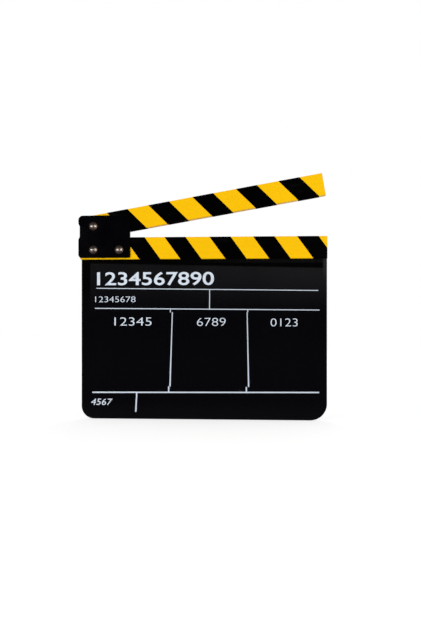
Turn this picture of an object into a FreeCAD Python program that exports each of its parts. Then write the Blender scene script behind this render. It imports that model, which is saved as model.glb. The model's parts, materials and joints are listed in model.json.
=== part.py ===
import FreeCAD, Part
import os
import Sketcher

# Clapperboard: a black slate panel hangs in the groove of a fixed stick, and a clap stick swings above it
# between two hinge plates. Upright, front towards -Y, origin on the panel's lower edge at half its width.

os.makedirs("parts", exist_ok=True)
doc = FreeCAD.newDocument("clapperboard")

# Driving dimensions: millimetres, degrees for angles, no unit for shares
SIZES = {
    # Sticks
    "stick_length": 300,
    "stick_height": 26.6,
    "clap_stick_thickness": 15,
    "stick_edge_chamfer": 0.6,
    "stick_end_chamfer": 0.4,
    "heel_setback": 1.3,
    "heel_corner_round": 2,
    "closing_gap": 0.4,
    "open_angle": 9.85,
    "stop_angle": 82,
    # Slate panel and its groove
    "panel_inset": 0.4,
    "panel_drop": 194.5,
    "panel_thickness": 3,
    "panel_left_corner_radius": 15.5,
    "panel_right_corner_radius": 20,
    "panel_edge_chamfer": 0.5,
    "groove_depth": 7.5,
    "groove_clearance": 0.1,
    # Hinge plates
    "plate_width": 64,
    "rear_plate_setback": 3.2,
    "plate_thickness": 1.5,
    "plate_overhang": 1.9,
    "plate_rise": 1.6,
    "plate_top_reach": 13,
    "plate_heel_round": 5.6,
    "plate_foot_round": 4.2,
    "plate_corner_round": 1.5,
    "plate_edge_chamfer": 0.3,
    "notch_drop": 6.4,
    "notch_length": 19.5,
    "notch_ramp": 3.5,
    "notch_depth": 1.65,
    "notch_round": 4,
    # Binding posts and the screws that close them
    "fixing_margin": 13.6,
    "fixing_drop": 1.8,
    "post_radius": 2.5,
    "post_head_radius": 5.4,
    "post_head_height": 2.6,
    "post_head_rim": 0.5,
    "post_bore_radius": 1.7,
    "post_setback": 0.5,
    "post_clearance": 0.1,
    "pivot_clearance": 0.05,
    "screw_head_height": 1.8,
    "screw_head_chamfer": 0.4,
    "screw_length": 8,
    "screw_clearance": 0.1,
    "screw_tip_gap": 1.5,
    "screw_slot_width": 1.2,
    "screw_slot_depth": 0.9,
    # Pivot washers
    "washer_radius": 8,
    "washer_thickness": 0.6,
    "washer_side_play": 0.1,
    # Countersunk screws that hold the panel in the groove
    "panel_screw_count": 3,
    "panel_screw_margin": 14,
    "panel_screw_radius": 1.5,
    "panel_screw_head_radius": 2.8,
    "panel_screw_bite": 3.5,
    "panel_screw_clearance": 0.1,
    "panel_screw_slot_width": 0.8,
    "panel_screw_slot_depth": 0.6,
    # Black bands on the sticks
    "stripe_width": 25.6,
    "stripe_lean": 36,
    "stripe_film": 0.1,
    "stripe_plate_gap": 0.05,
    # Printed strokes on the panel, which get thinner towards its top
    "rule_width": 1.8,
    "rule_taper_share": 0.56,
    "ink_film": 0.1,
    # Every cut runs this far past the solid that it cuts
    "cut_overrun": 1,
}

# Where the middle of each black band crosses the stick's middle line: shares of the fixed stick's length from
# the left, and of the clap stick's reach from the pivot
LOWER_BAND_SHARES = [0.2543, 0.421, 0.6035, 0.7793, 0.9548]
UPPER_BAND_SHARES = [0.1461, 0.3283, 0.5212, 0.71, 0.8927]

# Ends of the printed strokes: shares of the panel's width from the left and of its height below the fixed
# stick. An upright stroke ends on a rule, or at the height where it is broken
LEVEL_STROKE_SHARES = {
    "top_rule": ((0.062, 0.8197), (0.965, 0.803)),
    "middle_rule": ((0.0556, 0.6935), (0.9703, 0.6821)),
    "bottom_rule": ((0.0448, 0.1649), (0.9684, 0.1732)),
}
HIGH_BREAK_SHARE = 0.669
LOW_BREAK_SHARE = 0.2045
FOOT_END_SHARE = 0.044
UPRIGHT_STROKE_SHARES = {
    "top_divider": ((0.5267, "middle_rule"), (0.5274, "top_rule")),
    "left_column_head": ((0.3671, HIGH_BREAK_SHARE), (0.3671, "middle_rule")),
    "left_column": ((0.3652, LOW_BREAK_SHARE), (0.375, HIGH_BREAK_SHARE)),
    "left_column_foot": ((0.36, "bottom_rule"), (0.36, LOW_BREAK_SHARE)),
    "right_column_head": ((0.682, HIGH_BREAK_SHARE), (0.682, "middle_rule")),
    "right_column": ((0.6854, LOW_BREAK_SHARE), (0.6794, HIGH_BREAK_SHARE)),
    "right_column_foot": ((0.6763, "bottom_rule"), (0.6763, LOW_BREAK_SHARE)),
    "foot_divider": ((0.2246, FOOT_END_SHARE), (0.2287, "bottom_rule")),
}

sheet = doc.addObject("Spreadsheet::Sheet", "sizes")
for row, (alias, value) in enumerate(SIZES.items(), start=1):
    sheet.set(f"A{row}", alias)
    sheet.set(f"B{row}", str(value))
    sheet.setAlias(f"B{row}", alias)
doc.recompute()

# Places and sizes that follow from the sheet
HALF_HEIGHT = "(sizes.stick_height / 2)"
HALF_LENGTH = "(sizes.stick_length / 2)"
HALF_CLAP = "(sizes.clap_stick_thickness / 2)"
HALF_FIXED = "(sizes.clap_stick_thickness / 2 + sizes.washer_thickness + sizes.washer_side_play)"
HALF_GROOVE = "(sizes.panel_thickness / 2 + sizes.groove_clearance)"
HALF_PANEL = f"({HALF_LENGTH} - sizes.panel_inset)"
STICK_BOTTOM = "sizes.panel_drop"
STICK_MIDDLE = f"({STICK_BOTTOM} + {HALF_HEIGHT})"
STICK_TOP = f"({STICK_BOTTOM} + sizes.stick_height)"
GROOVE_TOP = f"({STICK_BOTTOM} + sizes.groove_depth)"
FIXING_Z = f"({STICK_MIDDLE} - sizes.fixing_drop)"
HEEL_REACH = f"({HALF_HEIGHT} / tan(sizes.stop_angle / 2))"
HEEL_OVERHANG = f"({HEEL_REACH} + sizes.heel_setback)"
PIVOT_X = f"({HEEL_OVERHANG} - {HALF_LENGTH})"
PIVOT_Z = f"({STICK_TOP} + sizes.closing_gap + {HALF_HEIGHT})"
REACH = f"(sizes.stick_length - {HEEL_OVERHANG})"
PLATE_LEFT = f"(-{HALF_LENGTH} - sizes.plate_overhang)"
PLATE_RIGHT = f"({PLATE_LEFT} + sizes.plate_width)"
REAR_PLATE_RIGHT = f"({PLATE_RIGHT} - sizes.rear_plate_setback)"
FIXING_PITCH = f"({PLATE_RIGHT} - sizes.fixing_margin - {PIVOT_X})"
PLATE_BOTTOM = f"({STICK_BOTTOM} + sizes.plate_rise)"
PLATE_TOP = f"({PIVOT_Z} + sizes.plate_top_reach)"
NOTCH_MIDDLE = f"({PIVOT_Z} - sizes.notch_drop)"
PLATE_FACE = f"({HALF_FIXED} + sizes.plate_thickness)"
POST_HOLE = "(sizes.post_radius + sizes.post_clearance)"
POST_LENGTH = f"(2 * {PLATE_FACE} - sizes.post_setback)"
HEAD_BLANK = "(sizes.post_head_height + sizes.cut_overrun)"
DOME_RISE = "(sizes.post_head_height - sizes.post_head_rim)"
BALL_RADIUS = f"((sizes.post_head_radius ^ 2 + {DOME_RISE} ^ 2) / (2 * {DOME_RISE}))"
BALL_MIDDLE = f"(sizes.post_head_height - {BALL_RADIUS})"
BALL_REACH = f"((sizes.post_head_radius + {BALL_RADIUS}) / 2)"
POST_BORE_DEPTH = "(sizes.screw_length - sizes.post_setback + sizes.screw_tip_gap)"
PANEL_SCREW_HOLE = "(sizes.panel_screw_radius + sizes.panel_screw_clearance)"
PANEL_SCREW_DEPTH = f"({HALF_FIXED} + {HALF_GROOVE} + sizes.panel_screw_bite)"
PANEL_SCREW_X = f"({PLATE_RIGHT} + sizes.panel_screw_margin)"
PANEL_SCREW_SPAN = f"({HALF_LENGTH} - sizes.panel_screw_margin - {PANEL_SCREW_X})"
PANEL_SCREW_Z = f"({STICK_BOTTOM} + sizes.groove_depth / 2)"
STRIPE_SLOPE = "tan(sizes.stripe_lean)"
FILM_CHAMFER = "(sizes.stick_edge_chamfer + (2 - sqrt(2)) * sizes.stripe_film)"

# Point codes of a sketch element, and the codes of the sketch's own origin and axes
START_INDEX, END_INDEX, CENTRE_INDEX = 1, 2, 3
ORIGIN_INDEX, UPRIGHT_AXIS_INDEX, ACROSS_AXIS_INDEX = -1, -2, -1

RIGHT, BACK, UP = FreeCAD.Vector(1, 0, 0), FreeCAD.Vector(0, 1, 0), FreeCAD.Vector(0, 0, 1)
FRONT_ANGLE, REAR_ANGLE = 90, -90
HALF_TURN_ANGLE = 180


def number(expression):
    return float(sheet.evalExpression(expression))


def point(x, y):
    return FreeCAD.Vector(number(x), number(y), 0)


def new_body(label):
    body = doc.addObject("PartDesign::Body", label)
    body.Label = label
    body.AllowCompound = True
    return body


def new_sketch(body, name, plane, offset=None):
    sketch = body.newObject("Sketcher::SketchObject", name)
    face = next(item for item in body.Origin.OriginFeatures if item.Role == plane)
    sketch.AttachmentSupport = [(face, "")]
    sketch.MapMode = "FlatFace"
    if offset:
        sketch.setExpression("AttachmentOffset.Base.z", offset)
    return sketch


def tie(sketch, constraint, expression):
    index = sketch.addConstraint(constraint)
    sketch.setExpression(f"Constraints[{index}]", expression)


def hold(sketch, element, spot, x, y):
    for kind, axis, expression in (("DistanceX", UPRIGHT_AXIS_INDEX, x), ("DistanceY", ACROSS_AXIS_INDEX, y)):
        if expression == "0":
            sketch.addConstraint(Sketcher.Constraint("PointOnObject", element, spot, axis))
        else:
            distance = Sketcher.Constraint(kind, ORIGIN_INDEX, START_INDEX, element, spot, number(expression))
            tie(sketch, distance, expression)


# A closed outline of straight sides; a radius makes the closing side an arc about the sketch's origin
def outline(sketch, corners, closing_radius=None):
    count = len(corners)
    first = sketch.GeometryCount
    for side in range(count):
        start = point(*corners[side])
        end = point(*corners[(side + 1) % count])
        if closing_radius and side == count - 1:
            full = Part.Circle(point("0", "0"), UP, number(closing_radius))
            sketch.addGeometry(Part.ArcOfCircle(full, full.parameter(start), full.parameter(end)), False)
            tie(sketch, Sketcher.Constraint("Radius", first + side, number(closing_radius)), closing_radius)
        else:
            sketch.addGeometry(Part.LineSegment(start, end), False)
    for side in range(count):
        after = first + (side + 1) % count
        sketch.addConstraint(Sketcher.Constraint("Coincident", first + side, END_INDEX, after, START_INDEX))
    for side, (x, y) in enumerate(corners):
        hold(sketch, first + side, START_INDEX, x, y)


def rectangle(sketch, left, right, bottom, top):
    outline(sketch, [(left, bottom), (right, bottom), (right, top), (left, top)])


def circle(sketch, x, y, radius):
    element = sketch.addGeometry(Part.Circle(point(x, y), UP, number(radius)), False)
    hold(sketch, element, CENTRE_INDEX, x, y)
    tie(sketch, Sketcher.Constraint("Radius", element, number(radius)), radius)


def pad(body, name, sketch, length, side="One side", turned=False):
    feature = body.newObject("PartDesign::Pad", name)
    feature.Profile = sketch
    feature.SideType = side
    feature.Reversed = turned
    feature.setExpression("Length", length)
    doc.recompute()
    return feature


# A cut has to take material away
def check_cut(body, before, name):
    doc.recompute()
    if not body.Shape.Volume < before:
        raise RuntimeError(f"{body.Label}: {name} cuts nothing")


def pocket(body, name, sketch, depth, side="One side", turned=False):
    before = body.Shape.Volume
    feature = body.newObject("PartDesign::Pocket", name)
    feature.Profile = sketch
    feature.SideType = side
    feature.Reversed = turned
    feature.setExpression("Length", depth)
    check_cut(body, before, name)
    return feature


def revolve(body, name, sketch):
    feature = body.newObject("PartDesign::Revolution", name)
    feature.Profile = sketch
    feature.ReferenceAxis = (sketch, ["V_Axis"])
    doc.recompute()
    return feature


# A row of some features, or of the whole piece where none are named
def row_along_x(body, name, sketch, span, count, features=None):
    feature = body.newObject("PartDesign::LinearPattern", name)
    if features:
        feature.Originals = features
    else:
        feature.TransformMode = "Whole shape"
    feature.Direction = (sketch, ["H_Axis"])
    feature.setExpression("Length", span)
    feature.setExpression("Occurrences", count)
    body.Tip = feature
    doc.recompute()
    return feature


def edges_where(feature, wanted):
    return [f"Edge{index}" for index, edge in enumerate(feature.Shape.Edges, start=1) if wanted(edge)]


def soften(body, kind, name, base, wanted, size):
    feature = body.newObject(f"PartDesign::{kind}", name)
    feature.Base = (base, edges_where(base, wanted))
    feature.setExpression("Radius" if kind == "Fillet" else "Size", size)
    doc.recompute()
    return feature


def is_along(edge, direction):
    straight = isinstance(edge.Curve, Part.Line)
    return straight and edge.tangentAt(edge.FirstParameter).isParallel(direction, Part.Precision.angular())


def middle(edge):
    return edge.CenterOfMass


def near(value, expression):
    return abs(value - number(expression)) < Part.Precision.approximation()


def place(item, x, y, z, axis=RIGHT, degrees=0):
    item.Placement = FreeCAD.Placement(FreeCAD.Vector(), FreeCAD.Rotation(axis, degrees))
    for name, expression in (("x", x), ("y", y), ("z", z)):
        item.setExpression(f"Placement.Base.{name}", expression)


# The clap stick and all that it carries swing about the pivot, which is their own origin
def place_on_pivot(item):
    place(item, PIVOT_X, "0", PIVOT_Z, -BACK, number("sizes.open_angle"))
    item.setExpression("Placement.Rotation.Angle", "sizes.open_angle")


def slate_panel():
    body = new_body("slate_panel")
    sketch = new_sketch(body, "panel_outline", "XZ_Plane")
    rectangle(sketch, f"-{HALF_PANEL}", HALF_PANEL, "0", GROOVE_TOP)
    feature = pad(body, "panel_sheet", sketch, "sizes.panel_thickness", "Symmetric")

    def is_left_corner(edge):
        return is_along(edge, BACK) and near(middle(edge).z, "0") and middle(edge).x < 0

    def is_right_corner(edge):
        return is_along(edge, BACK) and near(middle(edge).z, "0") and middle(edge).x > 0

    for side, wanted in (("left", is_left_corner), ("right", is_right_corner)):
        radius = f"sizes.panel_{side}_corner_radius"
        feature = soften(body, "Fillet", f"panel_{side}_corner", feature, wanted, radius)

    def is_rim(edge):
        return near(abs(middle(edge).y), "sizes.panel_thickness / 2")

    soften(body, "Chamfer", "panel_rim", feature, is_rim, "sizes.panel_edge_chamfer")
    holes = new_sketch(body, "panel_screw_holes", "XZ_Plane")
    circle(holes, PANEL_SCREW_X, PANEL_SCREW_Z, PANEL_SCREW_HOLE)
    hole = pocket(body, "panel_screw_hole", holes, "sizes.panel_thickness + sizes.cut_overrun", "Symmetric")
    row_along_x(body, "panel_screw_row", holes, PANEL_SCREW_SPAN, "sizes.panel_screw_count", [hole])
    return body


def lower_stick():
    body = new_body("lower_stick")
    section = new_sketch(body, "lower_stick_section", "YZ_Plane")
    outline(section, [
        (f"-{HALF_FIXED}", STICK_BOTTOM),
        (f"-{HALF_GROOVE}", STICK_BOTTOM),
        (f"-{HALF_GROOVE}", GROOVE_TOP),
        (HALF_GROOVE, GROOVE_TOP),
        (HALF_GROOVE, STICK_BOTTOM),
        (HALF_FIXED, STICK_BOTTOM),
        (HALF_FIXED, STICK_TOP),
        (f"-{HALF_FIXED}", STICK_TOP),
    ])
    bar = pad(body, "lower_stick_bar", section, "sizes.stick_length", "Symmetric")

    def is_long_edge(edge):
        return is_along(edge, RIGHT) and near(abs(middle(edge).y), HALF_FIXED)

    def is_end_edge(edge):
        in_groove = abs(middle(edge).y) < number(HALF_GROOVE) or near(abs(middle(edge).y), HALF_GROOVE)
        roof = near(middle(edge).z, STICK_TOP)
        return near(abs(middle(edge).x), HALF_LENGTH) and (roof or not in_groove)

    bar = soften(body, "Chamfer", "lower_stick_edges", bar, is_long_edge, "sizes.stick_edge_chamfer")
    soften(body, "Chamfer", "lower_stick_ends", bar, is_end_edge, "sizes.stick_end_chamfer")

    bores = new_sketch(body, "fixing_bores", "XZ_Plane")
    circle(bores, PIVOT_X, FIXING_Z, POST_HOLE)
    circle(bores, f"{PIVOT_X} + {FIXING_PITCH}", FIXING_Z, POST_HOLE)
    pocket(body, "fixing_bore", bores, f"2 * {HALF_FIXED} + sizes.cut_overrun", "Symmetric")

    pilots = new_sketch(body, "panel_screw_pilots", "XZ_Plane", f"-{HALF_FIXED}")
    circle(pilots, PANEL_SCREW_X, PANEL_SCREW_Z, PANEL_SCREW_HOLE)
    pilot = pocket(body, "panel_screw_pilot", pilots, PANEL_SCREW_DEPTH, turned=True)

    def is_mouth(edge):
        round_edge = isinstance(edge.Curve, Part.Circle)
        return round_edge and near(edge.Curve.Radius, PANEL_SCREW_HOLE) and near(middle(edge).y, HALF_FIXED)

    sink_size = f"sizes.panel_screw_head_radius - {PANEL_SCREW_HOLE}"
    sink = soften(body, "Chamfer", "panel_screw_sink", pilot, is_mouth, sink_size)
    row_along_x(body, "panel_screw_seats", pilots, PANEL_SCREW_SPAN, "sizes.panel_screw_count", [pilot, sink])
    return body


# The heel's end is raked so that it lands flat on the fixed stick at the stop angle, and its lower corner is
# rounded about the pivot so that it clears the fixed stick on the way
def upper_stick():
    body = new_body("upper_stick")
    profile = new_sketch(body, "upper_stick_profile", "XZ_Plane")
    outline(profile, [
        (f"-{HALF_HEIGHT} * tan(sizes.stop_angle / 2)", f"-{HALF_HEIGHT}"),
        (REACH, f"-{HALF_HEIGHT}"),
        (REACH, HALF_HEIGHT),
        (f"-{HEEL_REACH}", HALF_HEIGHT),
    ])
    bar = pad(body, "upper_stick_bar", profile, "sizes.clap_stick_thickness", "Symmetric")

    def is_heel(edge):
        return is_along(edge, BACK) and middle(edge).x < 0 and middle(edge).z < 0

    def is_heel_top(edge):
        return is_along(edge, BACK) and middle(edge).x < 0 and middle(edge).z > 0

    heel = soften(body, "Fillet", "heel_round", bar, is_heel, HALF_HEIGHT)
    heel = soften(body, "Fillet", "heel_corner", heel, is_heel_top, "sizes.heel_corner_round")

    def is_end_edge(edge):
        return near(middle(edge).x, REACH)

    def is_side_rim(edge):
        return near(abs(middle(edge).y), HALF_CLAP) and not is_end_edge(edge)

    bar = soften(body, "Chamfer", "upper_stick_edges", heel, is_side_rim, "sizes.stick_edge_chamfer")
    soften(body, "Chamfer", "upper_stick_end", bar, is_end_edge, "sizes.stick_end_chamfer")
    bore = new_sketch(body, "pivot_bore_outline", "XZ_Plane")
    circle(bore, "0", "0", "sizes.post_radius + sizes.pivot_clearance")
    pocket(body, "pivot_bore", bore, "sizes.clap_stick_thickness + sizes.cut_overrun", "Symmetric")
    place_on_pivot(body)
    return body


def hinge_plate(label, right, offset, turned):
    body = new_body(label)
    sketch = new_sketch(body, f"{label}_outline", "XZ_Plane", offset)
    notch_top = f"{NOTCH_MIDDLE} + sizes.notch_length / 2"
    notch_bottom = f"{NOTCH_MIDDLE} - sizes.notch_length / 2"
    notch_floor = f"{PLATE_LEFT} + sizes.notch_depth"
    outline(sketch, [
        (PLATE_LEFT, PLATE_BOTTOM),
        (right, PLATE_BOTTOM),
        (right, PLATE_TOP),
        (PLATE_LEFT, PLATE_TOP),
        (PLATE_LEFT, notch_top),
        (notch_floor, f"{notch_top} - sizes.notch_ramp"),
        (notch_floor, f"{notch_bottom} + sizes.notch_ramp"),
        (PLATE_LEFT, notch_bottom),
    ])
    circle(sketch, PIVOT_X, PIVOT_Z, POST_HOLE)
    circle(sketch, PIVOT_X, FIXING_Z, POST_HOLE)
    circle(sketch, f"{PIVOT_X} + {FIXING_PITCH}", FIXING_Z, POST_HOLE)
    feature = pad(body, f"{label}_blank", sketch, "sizes.plate_thickness", turned=turned)

    def is_corner(edge, x, z):
        return is_along(edge, BACK) and near(middle(edge).x, x) and near(middle(edge).z, z)

    def is_heel_corner(edge):
        return is_corner(edge, PLATE_LEFT, PLATE_TOP)

    def is_foot_corner(edge):
        return is_corner(edge, PLATE_LEFT, PLATE_BOTTOM)

    def is_free_corner(edge):
        return is_corner(edge, right, PLATE_TOP) or is_corner(edge, right, PLATE_BOTTOM)

    def is_notch_corner(edge):
        on_left = near(middle(edge).x, PLATE_LEFT) or near(middle(edge).x, notch_floor)
        return is_along(edge, BACK) and on_left and not is_heel_corner(edge) and not is_foot_corner(edge)

    for part, wanted, radius in (
        ("notch", is_notch_corner, "sizes.notch_round"),
        ("heel", is_heel_corner, "sizes.plate_heel_round"),
        ("foot", is_foot_corner, "sizes.plate_foot_round"),
        ("corner", is_free_corner, "sizes.plate_corner_round"),
    ):
        feature = soften(body, "Fillet", f"{label}_{part}", feature, wanted, radius)

    def is_outer_rim(edge):
        on_face = near(abs(middle(edge).y), PLATE_FACE)
        hole = isinstance(edge.Curve, Part.Circle) and near(edge.Curve.Radius, POST_HOLE)
        return on_face and not hole

    soften(body, "Chamfer", f"{label}_rim", feature, is_outer_rim, "sizes.plate_edge_chamfer")
    return body


# Rounds the blank of a head off to part of a ball, which is turned about a level axis
def dome_cut(body):
    sketch = new_sketch(body, f"{body.Label}_dome_outline", "XY_Plane", BALL_MIDDLE)
    foot = f"sqrt({BALL_RADIUS} ^ 2 - {BALL_REACH} ^ 2)"
    roof = f"{BALL_RADIUS} + sizes.post_head_radius"
    left = f"-{BALL_REACH}"
    outline(sketch, [(left, foot), (left, roof), (BALL_REACH, roof), (BALL_REACH, foot)], BALL_RADIUS)
    before = body.Shape.Volume
    feature = body.newObject("PartDesign::Groove", f"{body.Label}_dome")
    feature.Profile = sketch
    feature.ReferenceAxis = (sketch, ["H_Axis"])
    feature.Angle = HALF_TURN_ANGLE
    check_cut(body, before, feature.Name)
    return feature


# A binding post: domed head on the front plate, and a barrel with a bore that the screw closes
def binding_post(label, x, z, count="1"):
    body = new_body(label)
    sketch = new_sketch(body, f"{label}_section", "XZ_Plane")
    outline(sketch, [
        ("0", f"-{POST_LENGTH}"),
        ("sizes.post_radius", f"-{POST_LENGTH}"),
        ("sizes.post_radius", "0"),
        ("sizes.post_head_radius", "0"),
        ("sizes.post_head_radius", HEAD_BLANK),
        ("0", HEAD_BLANK),
    ])
    revolve(body, f"{label}_turned", sketch)
    dome_cut(body)
    mouth = new_sketch(body, f"{label}_bore_outline", "XY_Plane", f"-{POST_LENGTH}")
    circle(mouth, "0", "0", "sizes.post_bore_radius")
    pocket(body, f"{label}_bore", mouth, POST_BORE_DEPTH, turned=True)
    if count != "1":
        row_along_x(body, f"{label}_row", sketch, FIXING_PITCH, count)
    place(body, x, f"-{PLATE_FACE}", z, RIGHT, FRONT_ANGLE)
    return body


# The screw that closes a post from behind: a flat slotted head and a plain shank
def post_screw(label, x, z, count="1"):
    body = new_body(label)
    sketch = new_sketch(body, f"{label}_section", "XZ_Plane")
    shank = "sizes.post_bore_radius - sizes.screw_clearance"
    outline(sketch, [
        ("0", "-sizes.screw_length"),
        (shank, "-sizes.screw_length"),
        (shank, "0"),
        ("sizes.post_head_radius", "0"),
        ("sizes.post_head_radius", "sizes.screw_head_height - sizes.screw_head_chamfer"),
        ("sizes.post_head_radius - sizes.screw_head_chamfer", "sizes.screw_head_height"),
        ("0", "sizes.screw_head_height"),
    ])
    revolve(body, f"{label}_turned", sketch)
    slot_cut(body, "sizes.screw_head_height", "sizes.screw_slot_width", "sizes.screw_slot_depth",
             "sizes.post_head_radius")
    if count != "1":
        row_along_x(body, f"{label}_row", sketch, FIXING_PITCH, count)
    place(body, x, PLATE_FACE, z, RIGHT, REAR_ANGLE)
    return body


def slot_cut(body, top, width, depth, head_radius):
    sketch = new_sketch(body, f"{body.Label}_slot_outline", "XY_Plane", top)
    reach = f"{head_radius} + sizes.cut_overrun"
    half_width = f"{width} / 2"
    rectangle(sketch, f"-({reach})", reach, f"-({half_width})", half_width)
    return pocket(body, f"{body.Label}_slot", sketch, depth)


def pivot_washer(label, offset, turned):
    body = new_body(label)
    sketch = new_sketch(body, f"{label}_outline", "XZ_Plane", offset)
    circle(sketch, PIVOT_X, PIVOT_Z, "sizes.washer_radius")
    circle(sketch, PIVOT_X, PIVOT_Z, POST_HOLE)
    pad(body, f"{label}_disc", sketch, "sizes.washer_thickness", turned=turned)
    return body


def panel_screws():
    body = new_body("panel_screws")
    sketch = new_sketch(body, "panel_screw_section", "XZ_Plane")
    neck = "sizes.panel_screw_radius - sizes.panel_screw_head_radius"
    tip = f"sizes.panel_screw_radius - {PANEL_SCREW_DEPTH}"
    outline(sketch, [
        ("0", f"-{PANEL_SCREW_DEPTH}"),
        ("sizes.panel_screw_radius", tip),
        ("sizes.panel_screw_radius", neck),
        ("sizes.panel_screw_head_radius", "0"),
        ("0", "0"),
    ])
    revolve(body, "panel_screw_turned", sketch)
    slot_cut(body, None, "sizes.panel_screw_slot_width", "sizes.panel_screw_slot_depth",
             "sizes.panel_screw_head_radius")
    row_along_x(body, "panel_screw_group", sketch, PANEL_SCREW_SPAN, "sizes.panel_screw_count")
    place(body, PANEL_SCREW_X, HALF_FIXED, PANEL_SCREW_Z, RIGHT, REAR_ANGLE)
    return body


# A plain bar with chamfered long edges, round the stick's own middle line
def eased_bar(name, left, right, half_thickness, half_height, chamfer):
    body = new_body(name)
    sketch = new_sketch(body, f"{name}_profile", "XZ_Plane")
    rectangle(sketch, left, right, f"-({half_height})", half_height)
    bar = pad(body, f"{name}_pad", sketch, f"2 * ({half_thickness})", "Symmetric")

    def is_long(edge):
        return is_along(edge, RIGHT)

    soften(body, "Chamfer", f"{name}_edges", bar, is_long, chamfer)
    return body


# Slanting bands of film: a thin sleeve round the stick, kept only where the slanting slabs cross it
def stick_stripes(label, left, half_thickness, bottom, top, band_middles):
    film = "sizes.stripe_film"
    right = f"{REACH} - sizes.stick_end_chamfer"
    outer = eased_bar(f"{label}_outer", left, right, f"{half_thickness} + {film}", f"{HALF_HEIGHT} + {film}",
                      FILM_CHAMFER)
    inner = eased_bar(f"{label}_inner", f"{left} - sizes.cut_overrun", f"{REACH} + sizes.cut_overrun",
                      half_thickness, HALF_HEIGHT, "sizes.stick_edge_chamfer")
    sleeve = doc.addObject("Part::Cut", f"{label}_sleeve")
    sleeve.Base = outer
    sleeve.Tool = inner

    slabs = new_body(f"{label}_slabs")
    sketch = new_sketch(slabs, f"{label}_slab_outline", "XZ_Plane")
    half_width = "sizes.stripe_width / 2"
    for band_middle in band_middles:
        outline(sketch, [
            (f"{band_middle} - {half_width} - ({bottom}) * {STRIPE_SLOPE}", bottom),
            (f"{band_middle} + {half_width} - ({bottom}) * {STRIPE_SLOPE}", bottom),
            (f"{band_middle} + {half_width} - ({top}) * {STRIPE_SLOPE}", top),
            (f"{band_middle} - {half_width} - ({top}) * {STRIPE_SLOPE}", top),
        ])
    pad(slabs, f"{label}_slab", sketch, f"2 * {half_thickness} + sizes.cut_overrun", "Symmetric")

    stripes = doc.addObject("Part::Common", label)
    stripes.Label = label
    stripes.Base = sleeve
    stripes.Tool = slabs
    return stripes


# On the clap stick the bands go right round
def upper_stick_stripes():
    top = f"({HALF_HEIGHT} + sizes.cut_overrun)"
    bottom = f"-{top}"
    band_middles = [f"{share} * {REACH}" for share in UPPER_BAND_SHARES]
    stripes = stick_stripes("upper_stick_stripes", "0", HALF_CLAP, bottom, top, band_middles)
    place_on_pivot(stripes)
    return stripes


# On the fixed stick they go from the front over the top to the back, between the hinge plates and the free end
def lower_stick_stripes():
    left = f"{PLATE_RIGHT} - {PIVOT_X} + sizes.stripe_plate_gap"
    top = f"({HALF_HEIGHT} + sizes.cut_overrun)"
    bottom = f"-({HALF_HEIGHT} - sizes.stripe_film)"
    band_middles = [f"{share} * sizes.stick_length - {HEEL_OVERHANG}" for share in LOWER_BAND_SHARES]
    stripes = stick_stripes("lower_stick_stripes", left, HALF_FIXED, bottom, top, band_middles)
    place(stripes, PIVOT_X, "0", STICK_MIDDLE)
    return stripes


# The height of a rule where an upright stroke meets it, or the share itself where the stroke is broken
def stroke_end_share(across_share, end):
    if end not in LEVEL_STROKE_SHARES:
        return end
    (left_share, start_share), (right_share, finish_share) = LEVEL_STROKE_SHARES[end]
    travel_share = (across_share - left_share) / (right_share - left_share)
    return start_share + (finish_share - start_share) * travel_share


# One printed stroke between two ends, drawn as four corners and as thick as the ink
def printed_stroke(body, name, ends, upright):
    corners = []
    for turn in (-1, 1):
        for across_share, height_share in ends[::-turn]:
            x = f"(2 * {across_share} - 1) * {HALF_PANEL}"
            z = f"{height_share} * sizes.panel_drop"
            half_width = f"{turn} * sizes.rule_width * (1 - sizes.rule_taper_share * {height_share}) / 2"
            corners.append((f"{x} + {half_width}", z) if upright else (x, f"{z} + {half_width}"))
    sketch = new_sketch(body, f"{name}_outline", "XZ_Plane", "sizes.panel_thickness / 2")
    outline(sketch, corners)
    pad(body, name, sketch, "sizes.ink_film")


def printed_rules():
    body = new_body("printed_rules")
    for name, ends in LEVEL_STROKE_SHARES.items():
        printed_stroke(body, name, ends, False)
    for name, ends in UPRIGHT_STROKE_SHARES.items():
        met_ends = [(across_share, stroke_end_share(across_share, end)) for across_share, end in ends]
        printed_stroke(body, name, met_ends, True)
    return body


pieces = [
    slate_panel(),
    lower_stick(),
    upper_stick(),
    hinge_plate("front_hinge_plate", PLATE_RIGHT, HALF_FIXED, False),
    hinge_plate("rear_hinge_plate", REAR_PLATE_RIGHT, f"-{HALF_FIXED}", True),
    binding_post("pivot_post", PIVOT_X, PIVOT_Z),
    post_screw("pivot_screw", PIVOT_X, PIVOT_Z),
    binding_post("fixing_posts", PIVOT_X, FIXING_Z, "2"),
    post_screw("fixing_screws", PIVOT_X, FIXING_Z, "2"),
    pivot_washer("front_pivot_washer", HALF_FIXED, True),
    pivot_washer("rear_pivot_washer", f"-{HALF_FIXED}", False),
    panel_screws(),
    upper_stick_stripes(),
    lower_stick_stripes(),
    printed_rules(),
]
doc.recompute()

for item in doc.Objects:
    if "Invalid" in item.State or "Error" in item.State:
        raise RuntimeError(f"{item.Label} failed: {item.State}")
for piece in pieces:
    if piece.Shape.isNull() or not piece.Shape.isValid() or not piece.Shape.Solids:
        raise RuntimeError(f"{piece.Label} has no valid solid")
for piece in pieces:
    piece.Shape.exportStep(f"parts/{piece.Label}.step")
    print(piece.Label, len(piece.Shape.Solids), "solids", round(piece.Shape.Volume, 1), "mm3")
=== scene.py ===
import json
import math

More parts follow.
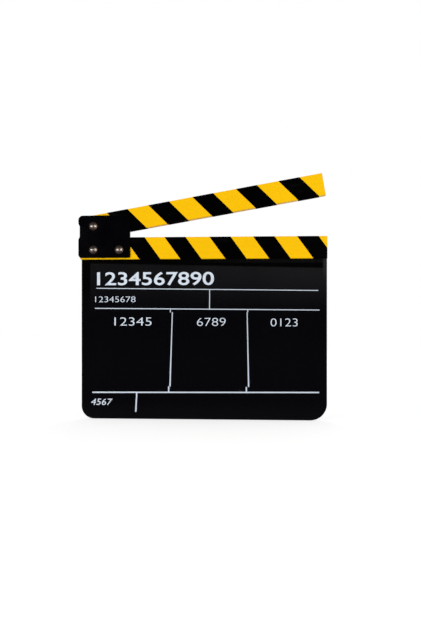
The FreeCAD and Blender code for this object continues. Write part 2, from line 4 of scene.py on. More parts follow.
import bpy
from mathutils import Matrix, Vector


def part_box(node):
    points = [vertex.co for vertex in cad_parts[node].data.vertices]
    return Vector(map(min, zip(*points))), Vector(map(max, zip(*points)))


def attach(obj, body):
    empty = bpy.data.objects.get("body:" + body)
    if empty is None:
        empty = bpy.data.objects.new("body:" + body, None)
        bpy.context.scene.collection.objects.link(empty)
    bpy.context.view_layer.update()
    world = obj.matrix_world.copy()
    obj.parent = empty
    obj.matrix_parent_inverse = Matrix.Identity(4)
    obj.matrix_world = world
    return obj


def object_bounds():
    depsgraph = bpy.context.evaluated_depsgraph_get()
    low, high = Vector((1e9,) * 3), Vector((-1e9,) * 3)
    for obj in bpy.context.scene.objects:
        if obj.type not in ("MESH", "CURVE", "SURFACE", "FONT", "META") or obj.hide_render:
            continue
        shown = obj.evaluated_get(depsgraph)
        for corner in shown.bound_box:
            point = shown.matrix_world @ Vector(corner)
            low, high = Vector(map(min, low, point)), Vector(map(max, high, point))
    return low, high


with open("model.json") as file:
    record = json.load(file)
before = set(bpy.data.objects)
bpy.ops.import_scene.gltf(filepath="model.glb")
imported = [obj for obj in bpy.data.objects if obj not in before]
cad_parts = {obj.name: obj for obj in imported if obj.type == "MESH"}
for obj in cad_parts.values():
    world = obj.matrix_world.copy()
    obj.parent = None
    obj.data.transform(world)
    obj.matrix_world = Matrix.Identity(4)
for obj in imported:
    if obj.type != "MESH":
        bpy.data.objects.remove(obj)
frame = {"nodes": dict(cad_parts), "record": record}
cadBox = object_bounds()
nodes = frame["nodes"]
bpy.ops.object.select_all(action="DESELECT")
print("frame loaded,", len(nodes), "nodes")


# node helpers

def addNode(tree, kind, inputs=None, **settings):
    node = tree.nodes.new(kind)
    for key, value in settings.items():
        setattr(node, key, value)
    for key, value in (inputs or {}).items():
        if isinstance(value, bpy.types.NodeSocket):
            tree.links.new(value, node.inputs[key])
        else:
            node.inputs[key].default_value = value
    return node


def startMaterial(name):
    material = bpy.data.materials.new(name)
    material.use_nodes = True
    return material, material.node_tree, material.node_tree.nodes["Principled BSDF"]


def sums(tree, operation, first, second=0.0):
    return addNode(tree, "ShaderNodeMath", {0: first, 1: second}, operation=operation).outputs[0]


def times(tree, first, second):
    return sums(tree, "MULTIPLY", first, second)


def flipped(tree, share):
    return sums(tree, "SUBTRACT", 1.0, share)


def spread(tree, source, low, high, toLow=0.0, toHigh=1.0):
    node = addNode(tree, "ShaderNodeMapRange", {0: source, 1: low, 2: high, 3: toLow, 4: toHigh},
                   interpolation_type="SMOOTHSTEP")
    return node.outputs[0]


def stepAt(tree, source, edge, soft, toLow=0.0, toHigh=1.0):
    return spread(tree, source, edge - soft, edge + soft, toLow, toHigh)


def mixed(tree, factor, first, second):
    return addNode(tree, "ShaderNodeMix", {0: factor, 2: first, 3: second}).outputs[0]


def tint(tree, factor, first, second):
    node = addNode(tree, "ShaderNodeMix", {0: factor, 6: first, 7: second}, data_type="RGBA")
    return node.outputs[2]


def noise(tree, place, scale, detail, stretch=(1, 1, 1), turn=(0, 0, 0)):
    laid = addNode(tree, "ShaderNodeMapping", {"Vector": place, "Rotation": turn, "Scale": stretch})
    return addNode(tree, "ShaderNodeTexNoise",
                   {"Vector": laid.outputs[0], "Scale": scale, "Detail": detail}).outputs[0]


def patchy(tree, place, look, name):  # one of the look's noises, brought to its range
    return spread(tree, noise(tree, place, **look[name + "Noise"]), *look[name + "Range"])


def relief(tree, height, depth, under=None):
    inputs = {"Height": height, "Distance": depth, "Strength": 1.0}
    if under:
        inputs["Normal"] = under
    return addNode(tree, "ShaderNodeBump", inputs).outputs[0]


def objectPlace(tree, centre=(0, 0, 0), turn=(0, 0, 0)):  # object coordinates, seen from a piece's own middle
    coordinates = addNode(tree, "ShaderNodeTexCoord").outputs["Object"]
    return addNode(tree, "ShaderNodeMapping", {"Vector": coordinates, "Location": centre, "Rotation": turn},
                   vector_type="TEXTURE").outputs[0]


def parted(tree, vector):
    return addNode(tree, "ShaderNodeSeparateXYZ", {0: vector}).outputs


def facing(tree):  # 1 on faces that look to the front or the back, 0 on the cut edges
    normal = addNode(tree, "ShaderNodeTexCoord").outputs["Normal"]
    return sums(tree, "ABSOLUTE", parted(tree, normal)["Y"])


def coat(tree, shader, colour, roughness, normal):
    tree.links.new(colour, shader.inputs["Base Color"])
    tree.links.new(roughness, shader.inputs["Roughness"])
    tree.links.new(normal, shader.inputs["Normal"])


def dress(material, *names):
    for name in names:
        nodes[name].material_slots[0].material = material


def middleOf(name):
    low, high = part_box(name)
    return (low + high) / 2


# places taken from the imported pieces

pivot = middleOf("pivot_post")
fixingLow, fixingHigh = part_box("fixing_posts")
headRadius = (fixingHigh.z - fixingLow.z) / 2
postCentres = [
    (pivot.x, pivot.z),
    (fixingLow.x + headRadius, fixingLow.z + headRadius),
    (fixingHigh.x - headRadius, fixingLow.z + headRadius),
]


def postDistance(tree, place):  # how far a point is from the nearest post's axis
    along = parted(tree, place)
    nearest = None
    for centreX, centreZ in postCentres:
        across = sums(tree, "SUBTRACT", along["X"], centreX)
        up = sums(tree, "SUBTRACT", along["Z"], centreZ)
        squares = sums(tree, "ADD", times(tree, across, across), times(tree, up, up))
        distance = sums(tree, "SQRT", squares)
        nearest = sums(tree, "MINIMUM", nearest, distance) if nearest else distance
    return nearest


# slate panel: gloss black acrylic with a painted sheen lighter toward the upper right, a painted shadow band
# under the lower stick, a darker left margin, a painted light strip at the right edge, dust specks and sawn
# edges
# places are in metres, and a range has its two ends, then the values there if they aren't 0 and 1

slate = {
    "deep": (0.0015, 0.0014, 0.0024, 1),
    # a painted shadow under the lower stick, and the darker left margin that has no painted sheen
    "shadedBlack": (0.0004, 0.0004, 0.0004, 1),
    # a painted reflection of the lower stick's underside, a faint streak in the shadow band
    "film": (0.0040, 0.0040, 0.0042, 1),
    # painted sheen, lighter toward the upper right
    "paintedSheen": (0.0098, 0.0098, 0.0108, 1),
    # a painted highlight: a light strip along the right edge of the upper part
    "rim": (0.0205, 0.0205, 0.0220, 1),
    "dust": (0.050, 0.050, 0.055, 1),
    "sawn": (0.016, 0.016, 0.020, 1),
    "marginLeft": -0.1389,
    "shadowTop": 0.1867,
    "shadowSlope": 0.0236,
    "stepSoft": 0.0009,
    "shadeHeights": (0.120, 0.162),  # the painted shadow band and the darker left margin only show on the upper part
    "sheenHeights": (0.122, 0.190),
    "sheenAcross": (-0.16, 0.15, 0.55, 1.0),
    "reflectionHeights": (0.1885, 0.1910),  # a painted reflection of the stick's underside, a faint streak along the stick
    "reflectionAcross": (-0.05, 0.09),
    "rimStart": 0.1450,
    "rimHeights": (0.164, 0.195),
    "smearNoise": {"scale": 16, "detail": 4, "stretch": (1, 1, 0.45), "turn": (0, 0.3, 0)},
    "smearRange": (0.3, 0.7, 0.8, 1.1),
    "smearGloss": (0.8, 1.1, 0.06, 0.10),
    "speckScale": 85.0,
    "speckReach": (0.72, 0.95, 0.0, 0.030),
    "speckSoft": 0.012,
    "speckShare": 0.4,
    "hairNoise": {"scale": 40, "detail": 2, "stretch": (0.25, 1, 7), "turn": (0, 0.5, 0)},
    "hairRange": (0.64, 0.70),
    "hairDepth": -0.0000015,
    "sawNoise": {"scale": 900, "detail": 2, "stretch": (1, 0.1, 1)},
    "sawDepth": 0.00005,
    "sawRoughness": 0.42,
    "faceRange": (0.72, 0.95),
}


def slateAcrylic():
    material, tree, shader = startMaterial("slateAcrylic")
    place = objectPlace(tree)
    along = parted(tree, place)
    front = spread(tree, facing(tree), *slate["faceRange"])
    soft = slate["stepSoft"]
    # a painted shadow band under the lower stick, wider to the right, and a darker left margin without the
    # painted sheen
    lean = times(tree, along["X"], slate["shadowSlope"])
    height = sums(tree, "ADD", along["Z"], lean)
    belowStickShadow = stepAt(tree, height, slate["shadowTop"], soft, 1.0, 0.0)
    fromLeft = stepAt(tree, along["X"], slate["marginLeft"], soft)
    high = spread(tree, along["Z"], *slate["shadeHeights"])
    shadowAndMargin = times(tree, high, flipped(tree, times(tree, belowStickShadow, fromLeft)))
    smears = patchy(tree, place, slate, "smear")
    # painted sheen: lighter toward the upper right, patchy with the smears
    climb = spread(tree, along["Z"], *slate["sheenHeights"])
    toRight = spread(tree, along["X"], *slate["sheenAcross"])
    paintedSheen = times(tree, times(tree, climb, toRight), smears)
    colour = tint(tree, paintedSheen, slate["deep"], slate["paintedSheen"])
    # a painted reflection of the stick's underside: a faint streak in the shadow band
    reflectionHigh = spread(tree, along["Z"], *slate["reflectionHeights"])
    reflectionRight = spread(tree, along["X"], *slate["reflectionAcross"])
    shadedColour = tint(tree, times(tree, reflectionHigh, reflectionRight), slate["shadedBlack"], slate["film"])
    colour = tint(tree, shadowAndMargin, colour, shadedColour)
    # painted highlight: a light strip along the right edge, on the upper part
    rim = stepAt(tree, along["X"], slate["rimStart"], soft)
    rim = times(tree, rim, spread(tree, along["Z"], *slate["rimHeights"]))
    colour = tint(tree, rim, colour, slate["rim"])
    specks = addNode(tree, "ShaderNodeTexVoronoi", {"Vector": place, "Scale": slate["speckScale"]}).outputs
    reach = spread(tree, specks["Color"], *slate["speckReach"])
    speck = spread(tree, sums(tree, "SUBTRACT", reach, specks["Distance"]), 0.0, slate["speckSoft"])
    colour = tint(tree, times(tree, speck, slate["speckShare"]), colour, slate["dust"])
    colour = tint(tree, front, slate["sawn"], colour)
    gloss = spread(tree, smears, *slate["smearGloss"])
    roughness = mixed(tree, front, slate["sawRoughness"], gloss)
    hairs = patchy(tree, place, slate, "hair")
    sawMarks = times(tree, noise(tree, place, **slate["sawNoise"]), flipped(tree, front))
    normal = relief(tree, times(tree, hairs, front), slate["hairDepth"])
    normal = relief(tree, sawMarks, slate["sawDepth"], normal)
    coat(tree, shader, colour, roughness, normal)
    return material


dress(slateAcrylic(), "slate_panel")
print("slate panel dressed")


# sticks: brushed yellow paint on wood, black bands, chips on the edges and dents on the clap faces

lowerLow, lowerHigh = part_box("lower_stick")
upperLow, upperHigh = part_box("upper_stick")
stick = {
    "openTurn": -math.radians(frame["record"]["behaviour"]["joints"][0]["range_deg"][0]),  # rest, from closed
    "halfHeight": (lowerHigh.z - lowerLow.z) / 2,
    "length": lowerHigh.x - lowerLow.x,
    "heel": pivot.x - lowerLow.x,
    "yellow": (0.960, 0.545, 0.0008, 1),
    "yellowDeep": (0.925, 0.505, 0.0006, 1),
    "yellowGrain": 0.00005,
    "yellowShine": 0.05,
    "wood": (0.520, 0.320, 0.130, 1),
    "black": (0.0003, 0.0001, 0.0003, 1),
    "blackWorn": (0.0012, 0.0009, 0.0011, 1),
    "blackGrain": 0.00004,
    "blackShine": 0.08,
    "bandShares": (0.2543, 0.4210, 0.6035, 0.7793, 0.9548),  # where the lower bands cross its middle line
    "bandWidth": 0.0256,
    "bandSlope": math.tan(math.radians(36)),
    "bandSoft": 0.0001,
    "grainNoise": {"scale": 55, "detail": 5, "stretch": (0.09, 4, 4)},
    "grainRange": (0.35, 0.75, 0.0, 0.45),
    "lapNoise": {"scale": 22, "detail": 3, "stretch": (0.4, 1, 1)},
    "lapRange": (0.35, 0.7, 0.0, 0.35),
    "lapRoughness": (0.3, 0.7, 0.28, 0.36),
    "dentNoise": {"scale": 170, "detail": 3, "stretch": (1.5, 0.45, 1)},
    "dentRange": (0.58, 0.74),
    "dentShare": 0.30,
    "scuffNoise": {"scale": 120, "detail": 4, "stretch": (0.3, 1, 1), "turn": (0, 0.6, 0)},
    "scuffRange": (0.56, 0.72),
    "scuffRoughness": (0.0, 1.0, 0.24, 0.34),
    "chipNoise": {"scale": 70, "detail": 4},
    "chipReach": 0.0009,
    "chipSoft": 0.00025,
    "chipDepth": -0.00008,
    "chipRoughness": 0.25,
    "yellowChips": (0.66, 0.80),
    "blackChips": (0.69, 0.83),
    "clapSkin": (0.0003, 0.0001),
    "clapRoughness": 0.95,
}
stickFrames = {
    "lower": {"centre": middleOf("lower_stick"), "turn": (0, 0, 0), "start": -stick["length"] / 2,
              "halfThickness": (lowerHigh.y - lowerLow.y) / 2, "clapSide": 1},
    "upper": {"centre": pivot, "turn": (0, -stick["openTurn"], 0), "start": -stick["heel"],
              "halfThickness": (upperHigh.y - upperLow.y) / 2, "clapSide": -1},
}


def stickPlace(tree, side):
    return objectPlace(tree, (side["centre"].x, 0, side["centre"].z), side["turn"])


def edgeDistance(tree, place, side):  # way to the bar's nearest edge: the middle one of the ways to its walls
    along = parted(tree, place)
    toTop = sums(tree, "SUBTRACT", stick["halfHeight"], sums(tree, "ABSOLUTE", along["Z"]))
    toFace = sums(tree, "SUBTRACT", side["halfThickness"], sums(tree, "ABSOLUTE", along["Y"]))
    fromMiddle = sums(tree, "SUBTRACT", along["X"], side["start"] + stick["length"] / 2)
    toEnd = sums(tree, "SUBTRACT", stick["length"] / 2, sums(tree, "ABSOLUTE", fromMiddle))
    lesser = sums(tree, "MINIMUM", toTop, toFace)
    greater = sums(tree, "MAXIMUM", toTop, toFace)
    return sums(tree, "MAXIMUM", lesser, sums(tree, "MINIMUM", greater, toEnd))


def chipped(tree, place, side, chipRange):
    spots = noise(tree, place, **stick["chipNoise"])
    reach = spread(tree, spots, *chipRange, 0.0, stick["chipReach"])
    inside = sums(tree, "SUBTRACT", reach, edgeDistance(tree, place, side))
    return spread(tree, inside, 0.0, stick["chipSoft"])


def clapFace(tree, place, side):  # 1 on the face that meets the other stick
    along = times(tree, parted(tree, place)["Z"], side["clapSide"])
    return spread(tree, along, *[stick["halfHeight"] - depth for depth in stick["clapSkin"]])


def lowerBands(tree, place):  # the black of the lower bands goes on round the bottom edges to the underside
    along = parted(tree, place)
    level = sums(tree, "ADD", along["X"], times(tree, along["Z"], stick["bandSlope"]))
    inBand = None
    for share in stick["bandShares"]:
        bandMiddle = share * stick["length"] - stick["length"] / 2
        fromBand = sums(tree, "ABSOLUTE", sums(tree, "SUBTRACT", level, bandMiddle))
        band = stepAt(tree, fromBand, stick["bandWidth"] / 2, stick["bandSoft"], 1.0, 0.0)
        inBand = sums(tree, "MAXIMUM", inBand, band) if inBand else band
    return inBand


def yellowPaint(sideName, side):
    material, tree, shader = startMaterial(sideName + "YellowPaint")
    place = stickPlace(tree, side)
    grain = noise(tree, place, **stick["grainNoise"])
    laps = noise(tree, place, **stick["lapNoise"])
    shade = sums(tree, "ADD", spread(tree, grain, *stick["grainRange"]),
                 spread(tree, laps, *stick["lapRange"]))
    colour = tint(tree, shade, stick["yellow"], stick["yellowDeep"])
    knocks = times(tree, patchy(tree, place, stick, "dent"), clapFace(tree, place, side))
    colour = tint(tree, times(tree, knocks, stick["dentShare"]), colour, stick["wood"])
    chips = chipped(tree, place, side, stick["yellowChips"])
    colour = tint(tree, chips, colour, stick["wood"])
    if sideName == "lower":
        colour = tint(tree, lowerBands(tree, place), colour, stick["blackWorn"])
    roughness = spread(tree, laps, *stick["lapRoughness"])
    roughness = sums(tree, "ADD", roughness, times(tree, chips, stick["chipRoughness"]))
    normal = relief(tree, grain, stick["yellowGrain"])
    normal = relief(tree, sums(tree, "ADD", chips, knocks), stick["chipDepth"], normal)
    coat(tree, shader, colour, roughness, normal)
    shader.inputs["Specular IOR Level"].default_value = stick["yellowShine"]
    return material


def blackBands(sideName, side):
    material, tree, shader = startMaterial(sideName + "BlackBands")
    place = stickPlace(tree, side)
    grain = noise(tree, place, **stick["grainNoise"])
    scuffs = patchy(tree, place, stick, "scuff")
    colour = tint(tree, scuffs, stick["black"], stick["blackWorn"])
    chips = chipped(tree, place, side, stick["blackChips"])
    colour = tint(tree, chips, colour, stick["yellowDeep"])
    roughness = spread(tree, scuffs, *stick["scuffRoughness"])
    matte = times(tree, clapFace(tree, place, side), stick["clapRoughness"])
    roughness = sums(tree, "MAXIMUM", roughness, matte)
    normal = relief(tree, grain, stick["blackGrain"])
    normal = relief(tree, chips, stick["chipDepth"], normal)
    coat(tree, shader, colour, roughness, normal)
    shader.inputs["Specular IOR Level"].default_value = stick["blackShine"]
    return material


for sideName, side in stickFrames.items():
    dress(yellowPaint(sideName, side), sideName + "_stick")
    dress(blackBands(sideName, side), sideName + "_stick_stripes")
print("sticks dressed")


# hinge plates: satin powder coat, rubbed round the post heads and along the rim

plate = {
    "coat": (0.0003, 0.0002, 0.0009, 1),
    "coatPale": (0.0007, 0.0006, 0.0014, 1),
    "shine": 0.12,
    "peelNoise": {"scale": 1300, "detail": 2},
    "peelDepth": 0.000008,
    "cloudNoise": {"scale": 45, "detail": 3},
    "cloudRange": (0.35, 0.7),
    "cloudRoughness": (0.3, 0.7, 0.15, 0.20),
    "rubbed": (0.012, 0.011, 0.010, 1),
    "rubbedShare": 0.5,
    "rubbedPolish": 0.06,
    "ringWidth": 0.0011,
    "ringNoise": {"scale": 260, "detail": 4},
    "ringRange": (0.50, 0.68),
    "rimFacing": (0.95, 0.75),
    "rimNoise": {"scale": 150, "detail": 4},
    "rimRange": (0.54, 0.66),
}


def powderCoat():
    material, tree, shader = startMaterial("powderCoat")
    place = objectPlace(tree)
    cloud = noise(tree, place, **plate["cloudNoise"])
    ring = spread(tree, postDistance(tree, place), headRadius + plate["ringWidth"], headRadius)
    rim = spread(tree, facing(tree), *plate["rimFacing"])
    ringWear = times(tree, ring, patchy(tree, place, plate, "ring"))
    rimWear = times(tree, rim, patchy(tree, place, plate, "rim"))
    worn = sums(tree, "MAXIMUM", ringWear, rimWear)
    colour = tint(tree, spread(tree, cloud, *plate["cloudRange"]), plate["coat"], plate["coatPale"])
    colour = tint(tree, times(tree, worn, plate["rubbedShare"]), colour, plate["rubbed"])
    roughness = spread(tree, cloud, *plate["cloudRoughness"])
    roughness = sums(tree, "SUBTRACT", roughness, times(tree, worn, plate["rubbedPolish"]))
    normal = relief(tree, noise(tree, place, **plate["peelNoise"]), plate["peelDepth"])
    coat(tree, shader, colour, roughness, normal)
    shader.inputs["Specular IOR Level"].default_value = plate["shine"]
    return material


dress(powderCoat(), "front_hinge_plate", "rear_hinge_plate")
print("hinge plates dressed")


# posts and their screws: nickel, a little tarnished, grime round the rim

nickel = {
    "bright": (0.62, 0.54, 0.48, 1),
    "tarnish": (0.46, 0.31, 0.25, 1),
    "tarnishShares": (0.45, 0.85),  # of a head's radius
    "filmNoise": {"scale": 240, "detail": 4},
    "filmRange": (0.35, 0.68, 0.0, 0.6),
    "filmRoughness": (0.0, 1.0, 0.31, 0.38),
    "grime": (0.030, 0.024, 0.018, 1),
    "grimeShare": 0.75,
    "grimeShares": (0.86, 0.99),
    "rubNoise": {"scale": 900, "detail": 3, "stretch": (0.2, 1, 2), "turn": (0, 0.7, 0)},
    "rubRoughness": (0.5, 0.8, 0.0, 0.08),
    "rubDepth": 0.000003,
}


def outwards(tree, distance, shares):
    return spread(tree, distance, *[headRadius * share for share in shares])


def polishedNickel():
    material, tree, shader = startMaterial("polishedNickel")
    place = objectPlace(tree)
    distance = postDistance(tree, place)
    film = sums(tree, "MAXIMUM", outwards(tree, distance, nickel["tarnishShares"]),
                patchy(tree, place, nickel, "film"))
    rub = noise(tree, place, **nickel["rubNoise"])
    rimGrime = outwards(tree, distance, nickel["grimeShares"])
    colour = tint(tree, film, nickel["bright"], nickel["tarnish"])
    colour = tint(tree, times(tree, rimGrime, nickel["grimeShare"]), colour, nickel["grime"])
    roughness = sums(tree, "ADD", spread(tree, film, *nickel["filmRoughness"]),
                     spread(tree, rub, *nickel["rubRoughness"]))
    normal = relief(tree, rub, nickel["rubDepth"])
    coat(tree, shader, colour, roughness, normal)
    shader.inputs["Metallic"].default_value = 1.0
    return material


dress(polishedNickel(), "pivot_post", "pivot_screw", "fixing_posts", "fixing_screws")


# washers: milky nylon with turning marks

nylon = {
    "pale": (0.72, 0.71, 0.67, 1),
    "used": (0.52, 0.50, 0.45, 1),
    "stainNoise": {"scale": 180, "detail": 4},
    "stainRange": (0.42, 0.72),
    "stainRoughness": (0.0, 1.0, 0.45, 0.6),
    "turnedScale": 700.0,
    "turnedDepth": 0.00001,
}


def nylonWasher():
    material, tree, shader = startMaterial("nylonWasher")
    place = objectPlace(tree)
    stain = patchy(tree, place, nylon, "stain")
    aboutPivot = objectPlace(tree, (pivot.x, 0, pivot.z))
    turned = addNode(tree, "ShaderNodeTexWave", {"Vector": aboutPivot, "Scale": nylon["turnedScale"]},
                     wave_type="RINGS", rings_direction="Y").outputs[0]
    colour = tint(tree, stain, nylon["pale"], nylon["used"])
    roughness = spread(tree, stain, *nylon["stainRoughness"])
    normal = relief(tree, turned, nylon["turnedDepth"])
    coat(tree, shader, colour, roughness, normal)
    return material


dress(nylonWasher(), "front_pivot_washer", "rear_pivot_washer")


# countersunk panel screws: zinc plate, dull in patches

zinc = {
    "bright": (0.58, 0.57, 0.55, 1),
    "dull": (0.30, 0.29, 0.27, 1),
    "spangleNoise": {"scale": 420, "detail": 4},
    "spangleRange": (0.38, 0.68),
    "spangleRoughness": (0.3, 0.7, 0.26, 0.44),
    "brushNoise": {"scale": 1600, "detail": 2, "stretch": (0.15, 1, 1)},
    "brushDepth": 0.000008,
}


def zincSteel():
    material, tree, shader = startMaterial("zincSteel")
    place = objectPlace(tree)
    spangle = noise(tree, place, **zinc["spangleNoise"])
    colour = tint(tree, spread(tree, spangle, *zinc["spangleRange"]), zinc["bright"], zinc["dull"])
    roughness = spread(tree, spangle, *zinc["spangleRoughness"])
    normal = relief(tree, noise(tree, place, **zinc["brushNoise"]), zinc["brushDepth"])
    coat(tree, shader, colour, roughness, normal)
    shader.inputs["Metallic"].default_value = 1.0
    return material


dress(zincSteel(), "panel_screws")
print("posts, screws and washers dressed")


# printed marks: white ink, rules from the frame and plain field numbers

ink = {
    "full": (0.71, 0.79, 0.89, 1),
    "thin": (0.40, 0.45, 0.52, 1),
    "film": 0.0001,
    "shine": 0.3,
    "mottleNoise": {"scale": 330, "detail": 4},
    "mottleRange": (0.52, 0.74, 0.0, 0.45),
    "mottleRoughness": (0.0, 0.45, 0.48, 0.58),
    "mottleDepth": -0.00001,
    "pinholeNoise": {"scale": 1500, "detail": 2},
    "pinholeRange": (0.66, 0.72),
    "rubAcross": (-0.15, 0.10),  # more wear to the upper right
    "rubHeights": (0.04, 0.12),
    "ruleRub": (0.25, 0.30),
    "numberRub": (0.12, 0.0),
}


def whiteInk(name, rubRight, rubHigh):
    material, tree, shader = startMaterial(name)
    place = objectPlace(tree)
    along = parted(tree, place)
    mottle = patchy(tree, place, ink, "mottle")
    pinholes = patchy(tree, place, ink, "pinhole")
    rubbed = sums(tree, "ADD", spread(tree, along["X"], *ink["rubAcross"], 0.0, rubRight),
                  spread(tree, along["Z"], *ink["rubHeights"], 0.0, rubHigh))
    thinned = sums(tree, "MAXIMUM", sums(tree, "MAXIMUM", mottle, pinholes), rubbed)
    colour = tint(tree, thinned, ink["full"], ink["thin"])
    roughness = spread(tree, mottle, *ink["mottleRoughness"])
    normal = relief(tree, sums(tree, "ADD", mottle, pinholes), ink["mottleDepth"])
    coat(tree, shader, colour, roughness, normal)
    shader.inputs["Specular IOR Level"].default_value = ink["shine"]
    return material


dress(whiteInk("ruleInk", *ink["ruleRub"]), "printed_rules")
numberInk = whiteInk("numberInk", *ink["numberRub"])

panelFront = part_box("slate_panel")[0].y
digitPrint = {"halfDepth": 0.5, "curveSteps": 4, "mergeWithin": 0.0004, "upright": math.radians(90)}
fieldNumbers = [  # left end, baseline, width and height in metres
    {"name": "headerNumber", "digits": "1234567890", "left": -0.1303, "base": 0.16285, "width": 0.1438,
     "height": 0.0164, "bold": 0.012, "slant": 0.0},
    {"name": "secondNumber", "digits": "12345678", "left": -0.1326, "base": 0.14236, "width": 0.0499,
     "height": 0.00705, "bold": -0.010, "slant": 0.0},
    {"name": "leftColumnNumber", "digits": "12345", "left": -0.1088, "base": 0.1137, "width": 0.0459,
     "height": 0.0101, "bold": -0.009, "slant": 0.0},
    {"name": "middleColumnNumber", "digits": "6789", "left": -0.0073, "base": 0.1134, "width": 0.0349,
     "height": 0.00985, "bold": -0.015, "slant": 0.0},
    {"name": "rightColumnNumber", "digits": "0123", "left": 0.0820, "base": 0.1130, "width": 0.0325,
     "height": 0.00955, "bold": -0.012, "slant": 0.0},
    {"name": "footNumber", "digits": "4567", "left": -0.1378, "base": 0.0166, "width": 0.0267,
     "height": 0.00785, "bold": 0.004, "slant": 0.2},
]


def printNumber(field):
    bpy.ops.object.select_all(action="DESELECT")
    bpy.ops.object.text_add(location=(0, 0, 0))
    number = bpy.context.object
    number.name = field["name"]
    number.data.body = field["digits"]
    number.data.offset = field["bold"]
    number.data.shear = field["slant"]
    number.data.extrude = digitPrint["halfDepth"]  # one deep, the ink's film after scaling
    number.data.resolution_u = digitPrint["curveSteps"]
    bpy.ops.object.convert(target="MESH")
    bpy.ops.object.mode_set(mode="EDIT")
    bpy.ops.mesh.select_all(action="SELECT")
    bpy.ops.mesh.remove_doubles(threshold=digitPrint["mergeWithin"])
    bpy.ops.mesh.normals_make_consistent(inside=False)
    bpy.ops.object.mode_set(mode="OBJECT")
    across = [corner.co.x for corner in number.data.vertices]
    up = [corner.co.y for corner in number.data.vertices]
    wide = field["width"] / (max(across) - min(across))
    tall = field["height"] / (max(up) - min(up))
    left = field["left"] - min(across) * wide
    base = field["base"] - min(up) * tall
    number.scale = (wide, tall, ink["film"])
    number.rotation_euler = (digitPrint["upright"], 0, 0)  # stand it up, face to the front
    number.location = (left, panelFront - ink["film"] / 2, base)
    bpy.ops.object.transform_apply(location=True, rotation=True, scale=True)
    number.data.materials.clear()
    number.data.materials.append(numberInk)
    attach(number, "board")


for field in fieldNumbers:
    printNumber(field)
print("printed marks done,", len(fieldNumbers), "numbers")


# studio: white all round, a dark room on the camera's side so that black stays black

studio = {
    "aim": Vector((0, 0, 0.13)),
    "ambient": 0.78,
    "roomTone": 0.016,
    "roomTurn": (-0.05, 0.60),
    "leftPlace": (-1.27, -1.64, 0.24),
    "leftPower": 6.5,
    "leftSize": (1.05, 0.46),
    "rightPlace": (0.99, -1.67, 0.27),
    "rightPower": 7.5,
    "rightSize": (1.10, 0.52),
    "backPlace": (0, 2.0, 1.6),
    "backPower": 8.0,
    "backSize": (1.2, 0.8),
    "floorSize": 9,
    "floorBack": 1.0,
    "floorGap": 0.0002,
    "fleckNoise": {"scale": 60, "detail": 3},
    "fleckRange": (0.3, 0.7, 0.78, 0.82),
    "shadowTone": (0.46, 0.46, 0.46, 1),  # with the glow it is white, but for the object's shadow
    "floorGlow": 0.64,
    "nearDepths": (-0.30, -0.05),
    "nearTones": (0.026, 0.055),
    "farDepths": (0.7, 1.7),
}


def seenRays(tree):  # camera, and glossy or see-through rays
    rays = addNode(tree, "ShaderNodeLightPath").outputs
    mirrored = sums(tree, "MAXIMUM", rays["Is Glossy Ray"], rays["Is Transmission Ray"])
    return rays["Is Camera Ray"], mirrored


def whiteRoom():
    world = bpy.data.worlds.new("whiteRoom")
    world.use_nodes = True
    bpy.context.scene.world = world
    tree = world.node_tree
    camera, mirrored = seenRays(tree)
    direction = addNode(tree, "ShaderNodeTexCoord").outputs["Generated"]
    room = spread(tree, parted(tree, direction)["Y"], *studio["roomTurn"], studio["roomTone"], 1.0)
    level = mixed(tree, camera, mixed(tree, mirrored, studio["ambient"], room), 1.0)
    background = tree.nodes["Background"]
    background.inputs["Color"].default_value = (1, 1, 1, 1)
    tree.links.new(level, background.inputs["Strength"])


def softBox(side):
    place = studio[side + "Place"]
    bpy.ops.object.light_add(type="AREA", location=place)
    box = bpy.context.object
    box.name = side + "SoftBox"
    box.data.shape = "RECTANGLE"
    box.data.size, box.data.size_y = studio[side + "Size"]
    box.data.energy = studio[side + "Power"]
    box.rotation_euler = (studio["aim"] - Vector(place)).to_track_quat("-Z", "Y").to_euler()


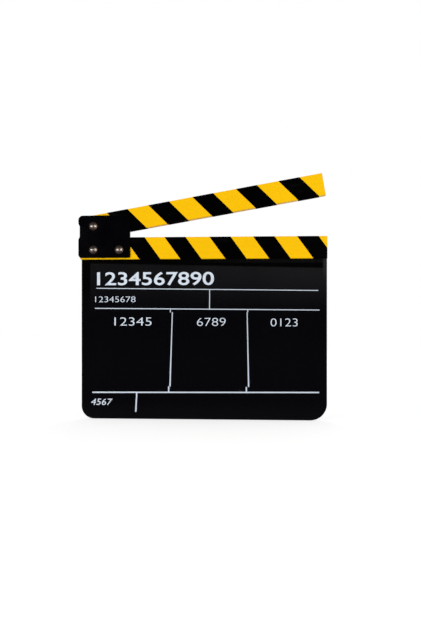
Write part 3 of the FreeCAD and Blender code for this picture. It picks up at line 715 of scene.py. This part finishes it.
def paleFloor():
    floorPlace = (0, studio["floorBack"], cadBox[0].z - studio["floorGap"])
    bpy.ops.mesh.primitive_plane_add(size=studio["floorSize"], location=floorPlace)
    floor = bpy.context.object
    bpy.ops.object.transform_apply(location=True, rotation=True, scale=True)
    floor.name = "paleFloor"
    material = bpy.data.materials.new("paleFloor")
    material.use_nodes = True
    tree = material.node_tree
    tree.nodes.remove(tree.nodes["Principled BSDF"])
    camera, mirrored = seenRays(tree)
    place = objectPlace(tree)
    paper = addNode(tree, "ShaderNodeBsdfDiffuse", {"Color": patchy(tree, place, studio, "fleck")})
    shadow = addNode(tree, "ShaderNodeBsdfDiffuse", {"Color": studio["shadowTone"]})
    glow = addNode(tree, "ShaderNodeEmission", {"Strength": studio["floorGlow"]})
    seen = addNode(tree, "ShaderNodeAddShader", {0: shadow.outputs[0], 1: glow.outputs[0]})
    depth = parted(tree, place)["Y"]
    near = spread(tree, depth, *studio["nearDepths"], *studio["nearTones"])
    room = sums(tree, "MAXIMUM", near, spread(tree, depth, *studio["farDepths"]))
    mirror = addNode(tree, "ShaderNodeEmission", {"Strength": room})
    lit = addNode(tree, "ShaderNodeMixShader", {0: mirrored, 1: paper.outputs[0], 2: mirror.outputs[0]})
    whole = addNode(tree, "ShaderNodeMixShader", {0: camera, 1: lit.outputs[0], 2: seen.outputs[0]})
    tree.links.new(whole.outputs[0], tree.nodes["Material Output"].inputs["Surface"])
    floor.data.materials.append(material)


whiteRoom()
paleFloor()
for side in ("left", "right", "back"):
    softBox(side)
print("studio lit")


# camera: a little to the right of the front, as in the photograph

view = {
    "aim": Vector((0.00906, 0, 0.1261)),
    "distance": 1.3,
    "turn": math.radians(5.51),
    "level": math.radians(90),
    "lens": 61.12,
    "sensor": 36.0,
    "farEnd": 50,
}


def placeCamera():
    back = Vector((math.sin(view["turn"]), -math.cos(view["turn"]), 0)) * view["distance"]
    bpy.ops.object.camera_add(location=view["aim"] + back, rotation=(view["level"], 0, view["turn"]))
    camera = bpy.context.object
    camera.name = "photoCamera"
    camera.data.lens = view["lens"]
    camera.data.sensor_width = view["sensor"]
    camera.data.sensor_fit = "AUTO"
    camera.data.clip_end = view["farEnd"]
    bpy.context.scene.camera = camera


placeCamera()
bpy.context.scene.view_settings.view_transform = "Standard"
print("camera placed")
